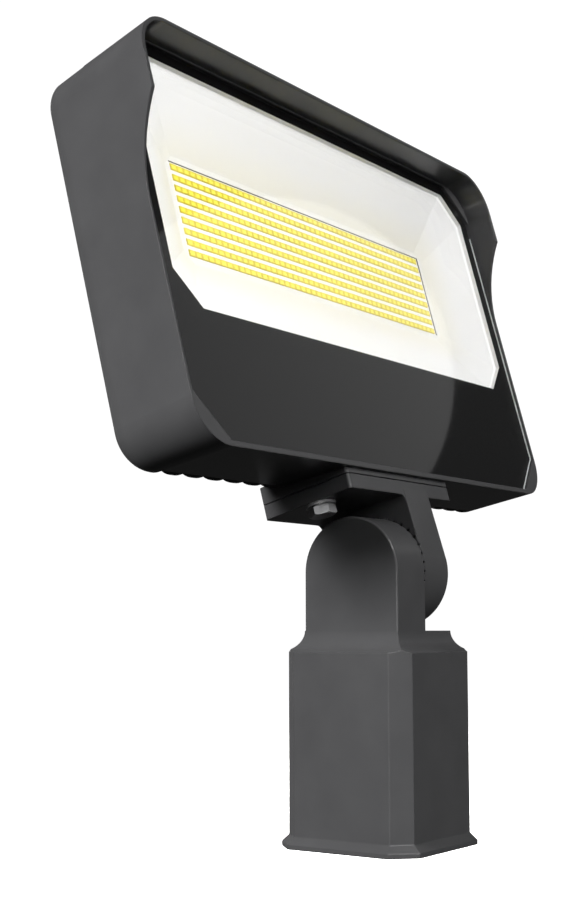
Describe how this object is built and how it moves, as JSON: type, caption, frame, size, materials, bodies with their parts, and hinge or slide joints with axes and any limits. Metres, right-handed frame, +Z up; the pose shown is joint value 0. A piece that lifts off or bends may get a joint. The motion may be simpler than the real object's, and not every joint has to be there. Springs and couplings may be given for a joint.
{
  "type": "flood light",
  "caption": "Rectangular LED flood light with a visor, a flat front glass and rear cooling fins, on a serrated tilting knuckle with a slipfitter for a round pole tenon.",
  "frame": {"origin": "centre of the slipfitter's bore at its mouth, where the pole's tenon goes in", "axes": "+Z up along the tenon, the light looks towards -Y, +X along the tilt axis towards the bolt's head"},
  "size_m": [0.3496, 0.1322, 0.4069],
  "materials": {
    "cast_paint": "dark grey powder coat on a die casting",
    "steel": "plain stainless",
    "dark_steel": "dark coated steel",
    "black_rubber": "matt silicone",
    "clear_glass": "clear tempered glass",
    "black_print": "black printed border behind glass",
    "white_tray": "white satin reflector",
    "white_board": "white solder mask",
    "yellow_chip": "yellow phosphor, unlit",
    "grey_pad": "soft heat pad",
    "driver_case": "plain sheet case, potted",
    "pale_plastic": "moulded nylon",
    "lead_plastic": "insulated wire"
  },
  "bodies": {
    "base": {"slipfitter": "cast_paint", "pivot_bolt": "steel", "pivot_washer": "steel", "pivot_lock_washer": "steel"},
    "head": {"tilt_arm": "cast_paint", "arm_gasket": "black_rubber", "arm_bolts": "dark_steel", "arm_washers": "dark_steel", "housing": "cast_paint", "lens_glass": "clear_glass", "lens_mask": "black_print", "lens_gasket": "black_rubber", "reflector": "white_tray", "reflector_screws": "steel", "thermal_pad": "grey_pad", "led_board": "white_board", "led_rows": "yellow_chip", "board_screws": "steel", "board_connector": "pale_plastic", "driver": "driver_case", "driver_screws": "steel", "terminal_block": "pale_plastic", "ground_screw": "steel", "led_leads": "lead_plastic", "wire_grommet": "black_rubber"},
    "lower_screw": {"clamp_screw_lower": "steel"},
    "upper_screw": {"clamp_screw_upper": "steel"}
  },
  "joints": [
    {"name": "head_tilt", "type": "hinge", "parent": "base", "child": "head", "pos_m": [0, 0, 0.1427], "axis": [1, 0, 0], "range_deg": [-70, 100]},
    {"name": "lower_screw_travel", "type": "slide", "parent": "base", "child": "lower_screw", "axis": [0, -1, 0], "range_m": [-0.004, 0.0055]},
    {"name": "upper_screw_travel", "type": "slide", "parent": "base", "child": "upper_screw", "axis": [0, -1, 0], "range_m": [-0.004, 0.0055]}
  ]
}
